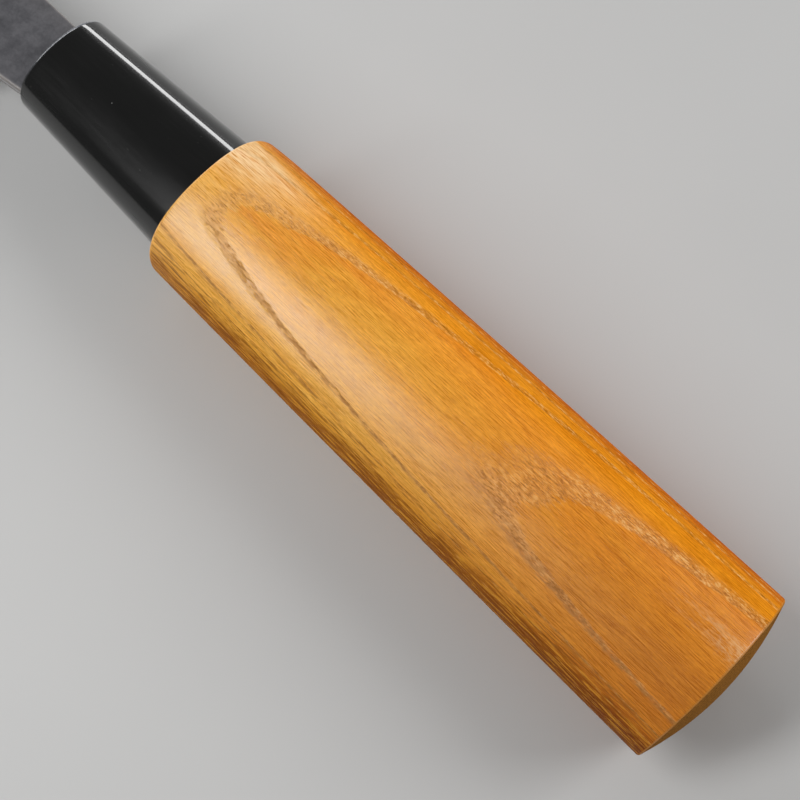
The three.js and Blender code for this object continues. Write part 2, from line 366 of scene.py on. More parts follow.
@dataclass(frozen=True)
class RingPorousWood(Finish):
    """Orange wood with wide arches of open pores, sanded fine and lacquered to a satin.

    The growth layers are gently curved sheets. Depth is measured through them, in millimetres. Each layer
    starts at a sharp line, with the pores of the layer before it just outside.
    """

    name: str = "satin_orange_wood"
    honey: Point = (0.775, 0.392, 0.040)
    amber: Point = (0.83, 0.290, 0.008)
    ember: Point = (0.74, 0.215, 0.005)
    umber: Point = (0.55, 0.175, 0.005)
    # painted shade colours for the edge-side and spine-side flanks
    painted_edge_flank_shade: Point = (0.38, 0.112, 0.002)
    painted_spine_flank_shade: Point = (0.53, 0.088, 0.001)
    pale_pore: Point = (0.84, 0.460, 0.145)
    dark_pore: Point = (0.30, 0.095, 0.008)
    ring_line: Point = (0.42, 0.155, 0.012)
    score: Point = (0.24, 0.066, 0.002)
    gold_dash: Point = (0.82, 0.365, 0.034)
    band: Point = (0.60, 0.235, 0.038)
    # painted highlight colour: the pale cream sheen laid on the front and near the butt
    painted_sheen: Point = (0.92, 0.640, 0.340)
    end_grain: Point = (0.33, 0.138, 0.022)
    worn_rim: Point = (0.62, 0.265, 0.045)
    dark_grain: Point = (0.70, 0.57, 0.32)
    light_grain: Point = (1.24, 1.31, 1.78)
    # painted shade tint for the edge-side flank towards the butt
    painted_rear_shade_tint: Point = (0.48, 0.29, 0.16)
    # painted light tint
    painted_light_tint: Point = (1.15, 1.14, 1.45)
    fibre_reach: Point = (3.2, 0.095, 0.095)
    mote_reach: Point = (0.7, 0.11, 0.11)
    streak_reach: Point = (11.0, 0.50, 0.50)
    patch_reach: Point = (9.0, 1.6, 1.6)
    drift_reach: Point = (40.0, 6.0, 6.0)
    slow_reach: Point = (30.0, 5.0, 5.0)
    quick_reach: Point = (2.4, 0.30, 0.30)
    fine_reach: Point = (0.75, 0.17, 0.17)
    coarse_reach: Point = (1.4, 0.48, 0.48)
    break_reach: Point = (1.3, 0.36, 0.36)
    vessel_reach: Point = (4.2, 0.30, 0.30)
    dash_reach: Point = (3.0, 0.34, 0.34)
    speckle_reach: Point = (1.0, 0.22, 0.22)
    layer: float = 0.80
    layer_start: float = 9.448
    layer_lean: float = 0.01564
    layer_bend: float = 0.02566
    layer_slope: float = 0.00330
    roughness: float = 0.30
    gloss_level: float = 0.68
    relief: float = 0.06 * MM
    relief_share: float = 0.80

    def depth(self, sheet: NodeSheet, place: Signal) -> Signal:
        """Depth through the growth layers.

        Args:
            sheet: The sheet of nodes.
            place: Place from the front of the wood, in millimetres.

        Returns:
            The depth in millimetres, a little wandering.
        """
        along, across, up = sheet.split(place)
        curved = up + across * self.layer_lean + across * across * self.layer_bend
        sloped = curved - along * self.layer_slope
        slow = sheet.noise(place, self.slow_reach, 1.0) - 0.5
        quick = sheet.noise(place, self.quick_reach, 3.0, 0.6) - 0.5
        bulge = (1 - abs(along + 6.5).rise(0.5, 6.5)) * (1 - abs(across).rise(1.0, 5.5))
        return sloped + bulge * 0.065 + slow * 0.06 + quick * 0.085

    def survey(self, sheet: NodeSheet, centre: Vector) -> WoodMap:
        """Works out the signals that the other methods share.

        Args:
            sheet: The sheet of nodes.
            centre: Middle of the wood's front face.

        Returns:
            The shared signals.
        """
        place = sheet.place(centre)
        along, across, _ = sheet.split(place)
        front, sideways, _ = sheet.facing()
        spineward = 0 - across
        fibre = sheet.noise(place, self.fibre_reach, 3.0, 0.5)
        mote = sheet.noise(place, self.mote_reach, 2.0)
        streak = sheet.noise(place, self.streak_reach, 3.0, 0.6)
        shade = (fibre - 0.5) * 2.1 + (mote - 0.5) * 1.1 + (streak - 0.5) * 0.7 + 0.5

        layer = ((self.depth(sheet, place) - self.layer_start) / self.layer).fract()
        widened = layer + spineward.rise(0.0, 4.0) * 0.035 + spineward.rise(4.0, 8.0) * 0.09
        opening = widened.rise(0.80, 0.95) + (streak - 0.5) * layer.rise(0.60, 0.85) * 1.2
        return WoodMap(
            place=place,
            along=along,
            across=across,
            spineward=spineward,
            edge_face=sideways,
            spine_face=0 - sideways,
            butt_face=0 - front,
            fibre=fibre,
            streak=streak,
            patch=sheet.noise(place, self.patch_reach, 2.0),
            fine=sheet.noise(place, self.fine_reach, 3.0, 0.7),
            layer=layer,
            early=opening.capped() * (1 - layer.rise(0.985, 1.0)),
            tone=sheet.blend(shade.capped(), self.dark_grain, self.light_grain),
        )

    def ground(self, sheet: NodeSheet, wood: WoodMap) -> Signal:
        """Colour between the pores: golden on the edge side, redder inside the arches, with painted shade on
        the flanks and towards the butt, and painted light on the edge-side part of the top.

        Args:
            sheet: The sheet of nodes.
            wood: The shared signals.

        Returns:
            The colour, with its grain.
        """
        along, across = wood.along, wood.across
        # tone: amber towards the spine side and the butt, honey towards the edge side and the front; partly
        # the wood's own tone, partly painted light and shade
        toned = across * 0.050 + along * 0.012 + 0.95
        drift = sheet.noise(wood.place, self.drift_reach, 2.0) - 0.5
        warm = sheet.blend((toned + drift * 0.9).capped(), self.amber, self.honey)
        after = 1 - wood.layer.rise(0.0, 0.5)
        glow = after * wood.patch.rise(0.30, 0.62) * (1 - across.rise(-0.5, 2.5) * 0.75)
        deeper = sheet.blend(glow * 0.50, warm, self.ember)
        # darker umber towards the butt: partly the wood's own tone, partly painted shade
        butt_tone_and_shade = (along * -0.022 - 0.75).capped() * (across * 0.06 + 0.70).capped()
        darker = sheet.blend(butt_tone_and_shade * 0.95, deeper, self.umber)
        # painted shade: the flanks darkened by which way they face
        low = sheet.blend(wood.edge_face.rise(0.80, 1.0) * 0.95, darker, self.painted_edge_flank_shade)
        flanked = sheet.blend(wood.spine_face.rise(0.68, 0.97) * 0.88, low, self.painted_spine_flank_shade)
        # painted shade: the edge-side flank darker still towards the butt
        painted_rear_shade = wood.edge_face.rise(0.70, 0.95) * (along * -0.015 - 0.35).capped()
        # painted light: the edge-side part of the top made brighter and bluer, above that flank
        painted_light = across.rise(5.5, 8.0) * (1 - wood.edge_face.rise(0.80, 0.94))
        shaded = sheet.tinted(sheet.tinted(flanked, self.painted_rear_shade_tint, painted_rear_shade), self.painted_light_tint, painted_light)
        return sheet.tinted(shaded, wood.tone)

    def pored(self, sheet: NodeSheet, wood: WoodMap, colour: Signal) -> tuple[Signal, Signal, Signal]:
        """Adds the porous bands, the dusky lines along them, and their pores.

        Args:
            sheet: The sheet of nodes.
            wood: The shared signals.
            colour: The colour so far.

        Returns:
            The new colour, the dusky lines and the dark pores.
        """
        across, early = wood.across, wood.early
        arms = across.rise(1.5, 4.5)
        frontal = (wood.along * 0.012 + 1.15).capped()
        pores = wood.fine * 0.72 + sheet.noise(wood.place, self.coarse_reach, 2.0, 0.5) * 0.28
        pale = pores.rise(0.52, 0.60) * early * (1 - arms * frontal * 0.70)
        dark = (1 - pores.rise(0.40, 0.47)) * early
        banded = sheet.blend(early * 0.30, colour, sheet.tinted(self.band, wood.tone))
        dusky = wood.layer.rise(0.76, 0.88) * (1 - wood.layer.rise(0.95, 1.0))
        broken = sheet.noise(wood.place, self.break_reach, 3.0, 0.6).rise(0.38, 0.58)
        outside = arms * 0.48 + across.rise(5.0, 7.0) * 0.35 + wood.spineward.rise(3.0, 6.0) * 0.22
        line = dusky * broken * outside
        lined = sheet.blend(line, banded, self.ring_line)
        flecks = pale * (0.56 + wood.spineward.rise(2.0, 5.0) * 0.34)
        flecked = sheet.blend(flecks, lined, self.pale_pore)
        return sheet.blend(dark * 0.40, flecked, self.dark_pore), line, dark

    def streaked(self, sheet: NodeSheet, wood: WoodMap, colour: Signal) -> tuple[Signal, Signal]:
        """Adds the long vessels that the flanks cut lengthwise, and short dashes between the bands.

        Args:
            sheet: The sheet of nodes.
            wood: The shared signals.
            colour: The colour so far.

        Returns:
            The new colour and the dashes.
        """
        flank = wood.edge_face.rise(0.58, 0.94) + wood.spine_face.rise(0.45, 0.92) * 0.42
        vessel = sheet.noise(wood.place, self.vessel_reach, 3.0, 0.6)
        scored = sheet.blend((1 - vessel.rise(0.39, 0.47)) * flank * 0.80, colour, self.score)
        veined = sheet.blend(vessel.rise(0.53, 0.60) * flank * 0.68, scored, self.gold_dash)
        dash, lot = sheet.cells(wood.place, self.dash_reach)
        dashes = (1 - dash.rise(0.12, 0.36)) * lot.below(0.42) * (1 - wood.early)
        return sheet.blend(dashes * 0.18, veined, self.dark_pore), dashes

    def add_painted_sheen(self, sheet: NodeSheet, wood: WoodMap, colour: Signal) -> Signal:
        """Paints a sheen on the wood towards its front, strongest at the spine-side corner, and patches of
        painted sheen near the butt.

        Args:
            sheet: The sheet of nodes.
            wood: The shared signals.
            colour: The colour so far.

        Returns:
            The new colour.
        """
        across = wood.across
        # painted sheen on the front, strongest at the spine-side corner and broken by the grain
        nearing = (wood.along * 0.056 + 1.05).capped()
        corner = across.rise(-8.9, -7.4) * (1 - across.rise(-6.8, -1.0))
        grain = wood.fibre * 4.0 + wood.streak * 3.0 - 2.6
        front_painted_sheen = nearing * nearing * (corner * 1.16 + 0.14) * grain
        # painted sheen in patches near the butt, on the spine side of the top
        strip = across.rise(-4.5, -2.6) * (1 - across.rise(-1.4, 0.4))
        sheen_patches = (wood.patch * 0.8 + wood.fine - 0.4).rise(0.42, 0.76)
        butt_painted_sheen = (wood.along * -0.09 - 6.5).capped() * strip * sheen_patches * 0.50
        return sheet.blend((front_painted_sheen + butt_painted_sheen).capped() * 0.85, colour, self.painted_sheen)

    def ended(self, sheet: NodeSheet, wood: WoodMap, colour: Signal, dark: Signal) -> tuple[Signal, Signal]:
        """Pales the butt's rim and gives the butt its dusty end grain.

        Args:
            sheet: The sheet of nodes.
            wood: The shared signals.
            colour: The colour so far.
            dark: The dark pores.

        Returns:
            The new colour and the share of end grain.
        """
        rim = wood.butt_face.rise(0.10, 0.40) * (1 - wood.butt_face.rise(0.55, 0.85))
        rimmed = sheet.blend(rim * 0.7, colour, self.worn_rim)
        cut_end = wood.butt_face.rise(0.60, 0.90)
        speckle = sheet.noise(wood.place, self.speckle_reach, 3.0, 0.6)
        dust = (speckle - 0.5) * 2.0 + 1.06 - wood.early * 0.46 - dark * 0.30
        dusty = sheet.tinted(self.end_grain, sheet.grey(dust))
        return sheet.blend(cut_end, rimmed, dusty), cut_end

    def paint(self, sheet: NodeSheet, centre: Vector) -> None:
        """Draws layers, pores, fibres, a painted sheen at the front and near the butt, and the darker end
        grain.

        Args:
            sheet: The sheet of nodes.
            centre: Middle of the wood's front face.
        """
        wood = self.survey(sheet, centre)
        pored, line, dark = self.pored(sheet, wood, self.ground(sheet, wood))
        streaked, dashes = self.streaked(sheet, wood, pored)
        colour, cut_end = self.ended(sheet, wood, self.add_painted_sheen(sheet, wood, streaked), dark)
        height = wood.fibre * 0.45 + wood.streak * 0.15 - (dark * 0.9 + dashes * 0.2)
        gloss = self.roughness + (wood.fibre - 0.5) * 0.40 + wood.early * 0.10 + line * 0.25 + cut_end * 0.45
        dulled = wood.edge_face.rise(0.62, 0.88) * 0.82 + wood.spine_face.rise(0.28, 0.58) * 0.92
        sheet.surface(
            {
                "Base Color": colour,
                "Roughness": gloss,
                "Specular IOR Level": self.gloss_level,
                "Normal": sheet.bump(height, self.relief, self.relief_share),
            },
            (dulled + cut_end * 0.85 + dark * 0.30).capped(),
        )


@dataclass(frozen=True)
class BlackResin(Finish):
    """Polished black resin with faint polishing marks and a few specks."""

    name: str = "polished_black_resin"
    black: Point = (0.0032, 0.0033, 0.0031)
    speck: Point = (0.14, 0.14, 0.135)
    # painted highlight colour for the mouth's rounded rim
    rubbed_and_rim_highlight: Point = (0.20, 0.21, 0.24)
    roughness: float = 0.24

    def paint(self, sheet: NodeSheet, centre: Vector) -> None:
        """Draws the polish, the haze under it, the specks and a painted highlight along the mouth's rim.

        Args:
            sheet: The sheet of nodes.
            centre: Middle of the ferrule's mouth.
        """
        place = sheet.place(centre)
        marks = sheet.noise(place, (9.0, 0.35, 0.35), 3.0)
        clouds = sheet.noise(place, (6.0, 4.0, 4.0), 2.0)
        spot, own = sheet.cells(place, (1.7, 1.7, 1.7))
        specks = (1 - spot.rise(0.035, 0.06)) * own.below(0.20)
        scratch, lot = sheet.cells(place, (2.6, 0.9, 0.9))
        scratches = (1 - scratch.rise(0.03, 0.09)) * lot.below(0.45)
        front, sideways, _ = sheet.facing()
        # painted highlight: a pale bluish band on the mouth's rounded rim, most on the spine side
        rim = front.rise(0.10, 0.28) * (1 - front.rise(0.90, 0.98)) * (0.55 - sideways * 0.8).capped()
        stained = sheet.blend(specks * 0.8 + scratches * 0.22, self.black, self.speck)
        rim_highlighted = sheet.blend(rim * (marks * 1.6 - 0.1).capped(), stained, self.rubbed_and_rim_highlight)
        sheet.surface(
            {
                "Base Color": rim_highlighted,
                "Roughness": self.roughness + (marks - 0.5) * 0.16 + (clouds - 0.5) * 0.12 + specks * 0.4,
                "Specular IOR Level": 0.15,
                "Coat Weight": 0.82 - specks * 0.7,
                "Coat Roughness": 0.035,
                "Normal": sheet.bump(marks * 0.4 + clouds + specks * 0.6, 0.012 * MM, 0.5),
            }
        )


@dataclass(frozen=True)
class ForgedSteel(Finish):
    """Dark forge skin on the flats, a ground bevel below them, and edges rubbed bright."""

    name: str = "forged_cladding"
    dark: Point = (0.054, 0.054, 0.061)
    light: Point = (0.115, 0.113, 0.123)
    ground: Point = (0.62, 0.62, 0.63)
    scratched: Point = (0.50, 0.50, 0.51)
    stain: Point = (0.86, 0.86, 0.86)
    # bare steel where the neck's edges are rubbed free of the forge skin
    rubbed_and_rim_highlight: Point = (0.52, 0.475, 0.44)

    def paint(self, sheet: NodeSheet, centre: Vector) -> None:
        """Draws the forge skin, the ground bevel and the rubbed edges.

        Args:
            sheet: The sheet of nodes.
            centre: Middle of the ferrule's mouth.
        """
        place = sheet.place(centre)
        _, sideways, _ = sheet.facing()
        height = sheet.node("ShaderNodeAttribute", {"attribute_name": Blade.BEVEL_MARK}, output="Fac")
        ragged = sheet.noise(place, (2.0, 0.8, 0.8), 3.0) - 0.5
        flat = (height + ragged * 0.05).rise(0.985, 1.015)
        edge = abs(sideways).rise(0.12, 0.50)

        cloud = sheet.noise(place, (2.0, 1.7, 1.7), 4.0, 0.60)
        grit = sheet.noise(place, (0.35, 0.35, 0.35), 3.0, 0.6)
        skin = sheet.blend((cloud * 1.1 + grit * 0.5 - 0.3).rise(0.10, 0.90), self.dark, self.light)
        scratch = sheet.noise(place, (0.14, 5.0, 5.0), 3.0)
        bright = sheet.tinted(sheet.blend(scratch, self.scratched, self.ground), self.stain, ragged + 0.5)
        dull = sheet.blend(flat, bright, skin)
        colour = sheet.blend(edge * 0.50, dull, self.rubbed_and_rim_highlight)
        rough = 0.44 + flat * 0.10 + (cloud - 0.5) * flat * 0.3 + (scratch - 0.5) * 0.16 - edge * 0.08
        relief = (cloud * 0.6 + grit * 0.4) * flat + scratch * (1 - flat) * 0.10
        sheet.surface(
            {
                "Base Color": colour,
                "Metallic": 1 - flat * 0.65,
                "Roughness": rough,
                "Normal": sheet.bump(relief, 0.035 * MM, 0.6),
            }
        )


@dataclass(frozen=True)
class CoreSteel(Finish):
    """Hard steel, ground bright towards the edge, with a hazy line where the layers meet."""

    name: str = "ground_core"
    bright: Point = (0.80, 0.80, 0.81)
    hazed: Point = (0.52, 0.52, 0.54)

    def paint(self, sheet: NodeSheet, centre: Vector) -> None:
        """Draws grinding lines and the haze at the layer line.

        Args:
            sheet: The sheet of nodes.
            centre: Middle of the ferrule's mouth.
        """
        place = sheet.place(centre)
        height = sheet.node("ShaderNodeAttribute", {"attribute_name": Blade.BEVEL_MARK}, output="Fac")
        scratch = sheet.noise(place, (0.12, 4.0, 4.0), 3.0)
        wave = sheet.noise(place, (3.0, 1.2, 1.2), 3.0) - 0.5
        haze = (height + wave * 0.09).rise(0.085, 0.15)
        colour = sheet.blend(haze * 0.8 + (scratch - 0.5) * 0.3, self.bright, self.hazed)
        sheet.surface(
            {
                "Base Color": colour,
                "Metallic": 1.0,
                "Roughness": 0.30 + haze * 0.12 + (scratch - 0.5) * 0.14,
                "Normal": sheet.bump(scratch, 0.004 * MM, 0.5),
            }
        )


@dataclass(frozen=True)
class SetAdhesive(Finish):
    """Hardened adhesive: amber or black, a little cloudy, with small pits."""

    name: str = "hardened_adhesive"
    clear: Point = (0.60, 0.46, 0.22)
    cloudy: Point = (0.44, 0.33, 0.17)
    roughness: float = 0.46

    def paint(self, sheet: NodeSheet, centre: Vector) -> None:
        """Draws clouds and pits.

        Args:
            sheet: The sheet of nodes.
            centre: Middle of the ferrule's mouth.
        """
        place = sheet.place(centre)
        cloud = sheet.noise(place, (2.2, 2.2, 2.2), 3.0)
        pit, own = sheet.cells(place, (0.9, 0.9, 0.9))
        pits = (1 - pit.rise(0.16, 0.26)) * own.below(0.3)
        sheet.surface(
            {
                "Base Color": sheet.blend(cloud, self.clear, self.cloudy),
                "Roughness": self.roughness + (cloud - 0.5) * 0.2,
                "Normal": sheet.bump(cloud * 0.6 - pits * 0.5, 0.06 * MM, 0.5),
            }
        )


@dataclass(frozen=True)
class PaleBoard(Finish):
    """Plain pale board with a barely visible mottle."""

    name: str = "pale_board"
    pale: Point = (0.555, 0.555, 0.55)
    paler: Point = (0.58, 0.58, 0.575)

    def paint(self, sheet: NodeSheet, centre: Vector) -> None:
        """Draws the mottle.

        Args:
            sheet: The sheet of nodes.
            centre: Point that the pattern starts from.
        """
        place = sheet.place(centre)
        mottle = sheet.noise(place, (30.0, 30.0, 30.0), 3.0)
        sheet.surface(
            {
                "Base Color": sheet.blend(mottle, self.pale, self.paler),
                "Roughness": 0.78,
                "Specular IOR Level": 0.2,
            }
        )


class RingLoft:
    """A skin drawn ring by ring from one loop of vertices."""

    MERGE = 1e-7

    def __init__(self, points: list[Vector], mark: str = "") -> None:
        """Starts with one open loop.

        Args:
            points: The first ring's points in order.
            mark: Name of a number to keep at each vertex, if any.
        """
        self.mesh = bmesh.new()
        self.marks = self.mesh.verts.layers.float.new(mark) if mark else None
        made = bmesh.ops.create_circle(self.mesh, cap_ends=False, radius=1.0, segments=len(points))
        self.ring = list(made["verts"])
        self.first = list(points)
        self.settle(points)

    def settle(self, points: list[Vector]) -> None:
        """Moves the newest ring's vertices to their places."""
        for vertex, point in zip(self.ring, points, strict=True):
            vertex.co = point

    def note(self, marks: list[float]) -> None:
        """Writes a number at each of the newest ring's vertices."""
        for vertex, mark in zip(self.ring, marks, strict=True):
            vertex[self.marks] = mark

    def edges(self) -> list[bmesh.types.BMEdge]:
        """The newest ring's edges in order."""
        following = self.ring[1:] + self.ring[:1]
        return [self.mesh.edges.get(pair) for pair in zip(self.ring, following)]

    def extend(self, points: list[Vector]) -> None:
        """Extrudes the newest ring to a new one.

        Args:
            points: The new ring's points, in the same order.
        """
        made = bmesh.ops.extrude_edge_only(self.mesh, edges=self.edges())
        fresh = {item for item in made["geom"] if isinstance(item, bmesh.types.BMVert)}
        self.ring = [
            next(edge.other_vert(old) for edge in old.link_edges if edge.other_vert(old) in fresh)
            for old in self.ring
        ]
        self.settle(points)

    def cap(self) -> None:
        """Closes the newest ring with one face."""
        bmesh.ops.contextual_create(self.mesh, geom=self.edges())

    def join(self) -> None:
        """Brings the skin back to its first ring, so that it closes on itself."""
        self.extend(self.first)
        bmesh.ops.remove_doubles(self.mesh, verts=self.mesh.verts, dist=self.MERGE)

    def finish(self, name: str, crease: float) -> bpy.types.Object:
        """Turns the skin into an object at the origin.

        Args:
            name: The object's name.
            crease: Angle in degrees from which an edge stays sharp.

        Returns:
            The object.
        """
        bmesh.ops.recalc_face_normals(self.mesh, faces=self.mesh.faces)
        data = bpy.data.meshes.new(name)
        self.mesh.to_mesh(data)
        self.mesh.free()
        data.shade_smooth()
        data.set_sharp_from_angle(angle=math.radians(crease))
        made = bpy.data.objects.new(name, data)
        bpy.context.scene.collection.objects.link(made)
        return made


@dataclass(frozen=True)
class Axis:
    """The handle's axis and the ends of the ferrule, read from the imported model."""

    y: float
    z: float
    mouth_x: float
    shoulder_x: float
    fullness: float = 2.15
    sides: int = 192

    @classmethod
    def read(cls) -> "Axis":
        """Reads the axis from the ferrule's box."""
        low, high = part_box(Node.FERRULE.value)
        middle = (low + high) / 2
        return cls(middle.y, middle.z, high.x, low.x)

    def at(self, x: float) -> Vector:
        """Point of the axis at a place along the knife."""
        return Vector((x, self.y, self.z))

    def turn(self, index: int) -> tuple[float, float]:
        """Full oval of unit half-sizes at one of its points.

        Args:
            index: Which point round the ring.

        Returns:
            The point's y and z.
        """
        angle = 2 * math.pi * index / self.sides
        power = 2 / self.fullness
        y, z = math.cos(angle), math.sin(angle)
        return math.copysign(abs(y) ** power, y), math.copysign(abs(z) ** power, z)

    def oval(self, x: float, height: float, thickness: float) -> list[Vector]:
        """Oval ring across the axis, with its size from spine to edge and from right to left."""
        return [self.spot(index, x, height, thickness) for index in range(self.sides)]

    def spot(self, index: int, x: float, height: float, thickness: float) -> Vector:
        """One point of an oval ring, by its number round the ring."""
        y, z = self.turn(index)
        return self.at(x) + Vector((0, y * height / 2, z * thickness / 2))

    def slot(self, x: float, height: float, thickness: float) -> list[Vector]:
        """Rectangular ring with as many points as an oval one.

        Args:
            x: Place along the knife.
            height: Size from spine side to edge side.
            thickness: Size from right to left.

        Returns:
            The ring's points.
        """
        ring = []
        for index in range(self.sides):
            angle = 2 * math.pi * (index + 0.5) / self.sides
            y, z = math.cos(angle), math.sin(angle)
            reach = 1 / max(abs(y), abs(z))
            ring.append(self.at(x) + Vector((0, y * reach * height / 2, z * reach * thickness / 2)))
        return ring


def quarter(run: float, rise: float, steps: int) -> list[tuple[float, float]]:
    """Distance from the end and inset at each step of a quarter round, starting at the side."""
    turns = [math.pi / 2 * step / steps for step in range(steps + 1)]
    return [(run * (1 - math.sin(turn)), rise * (1 - math.cos(turn))) for turn in turns]


def dress(piece: bpy.types.Object, material: bpy.types.Material) -> bpy.types.Object:
    """Gives a piece its one material.

    Args:
        piece: The piece.
        material: The material.

    Returns:
        The piece.
    """
    piece.data.materials.clear()
    piece.data.materials.append(material)
    return piece


def settle(piece: bpy.types.Object, node: Node) -> None:
    """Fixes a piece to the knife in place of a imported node, and logs it.

    Args:
        piece: The piece.
        node: The node it stands for.
    """
    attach(piece, "root")
    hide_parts(node.value)
    LOG.info("%s stands for %s with %d faces", piece.name, node.value, len(piece.data.polygons))


@dataclass
class Grip:
    """Wooden handle, ferrule, and the fill in the ferrule's mouth."""

    axis: Axis
    wood_step: float = 2.0 * MM
    wood_swell: float = 0.14 * MM
    shoulder_run: float = 1.3 * MM
    shoulder_rise: float = 1.2 * MM
    shoulder_flat_share: float = 0.2
    sanding: float = 0.22 * MM
    sanding_run: float = 6.0 * MM
    butt_height: float = 24.9 * MM
    butt_thickness: float = 20.5 * MM
    butt_dome: float = 1.5 * MM
    butt_setback: float = 0.45 * MM
    butt_round: float = 0.4 * MM
    mouth_height: float = 14.4 * MM
    mouth_thickness: float = 12.0 * MM
    rear_height: float = 17.5 * MM
    rear_thickness: float = 14.5 * MM
    wall: float = 0.9 * MM
    mouth_round: float = 0.6 * MM
    rear_round: float = 0.15 * MM
    lip: float = 0.12 * MM
    film: float = 0.4 * MM
    slot_height: float = 10.1 * MM
    slot_end_height: float = 6.3 * MM
    slot_thickness: float = 3.8 * MM
    slot_reach: float = 78.7 * MM
    tang_height: float = 8.9 * MM
    tang_thickness: float = 2.5 * MM
    dip: float = 0.35 * MM
    barrel_steps: int = 56
    sleeve_steps: int = 40
    round_steps: int = 10
    dome_steps: int = 14
    dip_steps: int = 8
    pole_share: float = 0.02
    crease: float = 38.0

    @property
    def bore(self) -> tuple[float, float]:
        """Height and thickness of the ferrule's bore."""
        return self.mouth_height - 2 * self.wall, self.mouth_thickness - 2 * self.wall

    def wood_size(self, share: float) -> tuple[float, float]:
        """Height and thickness of the wood.

        Args:
            share: Share of the way from the shoulder to the butt.

        Returns:
            The two sizes.
        """
        fronts = (self.rear_height + 2 * self.wood_step, self.rear_thickness + 2 * self.wood_step)
        butts = (self.butt_height, self.butt_thickness)
        swell = 8 * self.wood_swell * share * (1 - share)
        height, thickness = (mix(front, butt, share) + swell for front, butt in zip(fronts, butts))
        return height, thickness

    def shoulder_share(self, index: int) -> float:
        """Share of the front edge's rounding at a point: all at the sides, little on the flats."""
        sideways = math.cos(2 * math.pi * index / self.axis.sides) ** 4
        return mix(self.shoulder_flat_share, 1.0, sideways)

    def setback(self, index: int) -> float:
        """How far a point of the butt's edge sits back, most at the spine and edge sides."""
        return self.butt_setback * math.cos(2 * math.pi * index / self.axis.sides) ** 2

    def sunk(self, point: Vector, x: float, depth: float) -> Vector:
        """A point of the wood sunk towards the axis, less and less from spine side to edge side.

        Args:
            point: The point.
            x: Its place along the knife.
            depth: How far it sinks on the spine side.

        Returns:
            The sunk point.
        """
        away = point - self.axis.at(x)
        spine_share = (1 - away.y / away.length) / 2
        return point - away.normalized() * depth * spine_share

    def wood(self) -> bpy.types.Object:
        """Lofts the wood from the middle of its butt to the tenon and the tang's slot.

        Returns:
            The wood.
        """
        axis = self.axis
        low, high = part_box(Node.HANDLE.value)
        butt_x = low.x + self.butt_dome
        length = axis.shoulder_x - butt_x

        def skin(index: int, x: float, inset: float) -> Vector:
            """Point of the wood's outside, drawn in by an inset and sanded down towards the front."""
            back = axis.shoulder_x - x
            height, thickness = self.wood_size(back / length)
            point = axis.spot(index, x, height - 2 * inset, thickness - 2 * inset)
            return self.sunk(point, x, self.sanding * max(0.0, 1 - back / self.sanding_run) ** 2)

        def outer(x: float, inset: float) -> list[Vector]:
            """Ring of the wood's outside, drawn in by an inset."""
            return [skin(index, x, inset) for index in range(axis.sides)]

        setbacks = [self.setback(index) for index in range(axis.sides)]
        rings = []
        for step in range(self.dome_steps):
            share = mix(self.pole_share, 1.0, step / self.dome_steps)
            height = (self.butt_height - 2 * self.butt_round) * share
            thickness = (self.butt_thickness - 2 * self.butt_round) * share
            domes = [low.x + (self.butt_dome + setback) * share**2 for setback in setbacks]
            rings.append([axis.spot(index, x, height, thickness) for index, x in enumerate(domes)])
        for back, inset in reversed(quarter(self.butt_round, self.butt_round, self.round_steps)):
            edges = [butt_x + back + setback for setback in setbacks]
            rings.append([skin(index, x, inset) for index, x in enumerate(edges)])
        first_x = butt_x + self.butt_round
        bend_x = axis.shoulder_x - self.sanding_run
        last_x = axis.shoulder_x - self.shoulder_run
        for step in range(1, self.barrel_steps):
            rings.append(outer(mix(first_x, bend_x, step / self.barrel_steps), 0.0))
        for step in range(self.round_steps):
            rings.append(outer(mix(bend_x, last_x, step / self.round_steps), 0.0))
        shares = [self.shoulder_share(index) for index in range(axis.sides)]
        for back, inset in quarter(self.shoulder_run, self.shoulder_rise, self.round_steps + 4):
            places = [axis.shoulder_x - back * share for share in shares]
            insets = [inset * share for share in shares]
            rings.append([skin(index, *pair) for index, pair in enumerate(zip(places, insets))])
        tenon = tuple(size - 2 * self.film for size in self.bore)
        rings.append(axis.oval(axis.shoulder_x, *tenon))
        rings.append(axis.oval(high.x, *tenon))
        rings.append(axis.slot(high.x, self.slot_height, self.slot_thickness))
        slot_end_x = axis.mouth_x - self.slot_reach
        rings.append(axis.slot(slot_end_x, self.slot_end_height, self.slot_thickness))

        loft = RingLoft(rings[0])
        loft.cap()
        for ring in rings[1:]:
            loft.extend(ring)
        loft.cap()
        return loft.finish("wooden_handle", self.crease)

    def sleeve(self) -> bpy.types.Object:
        """Lofts the ferrule round its outside and back through its bore.

        Returns:
            The ferrule.
        """
        axis = self.axis
        length = axis.mouth_x - axis.shoulder_x

        def outer(x: float, inset: float) -> list[Vector]:
            """Ring of the ferrule's outside, drawn in by an inset."""
            share = (axis.mouth_x - x) / length
            height = mix(self.mouth_height, self.rear_height, share) - 2 * inset
            thickness = mix(self.mouth_thickness, self.rear_thickness, share) - 2 * inset
            return axis.oval(x, height, thickness)

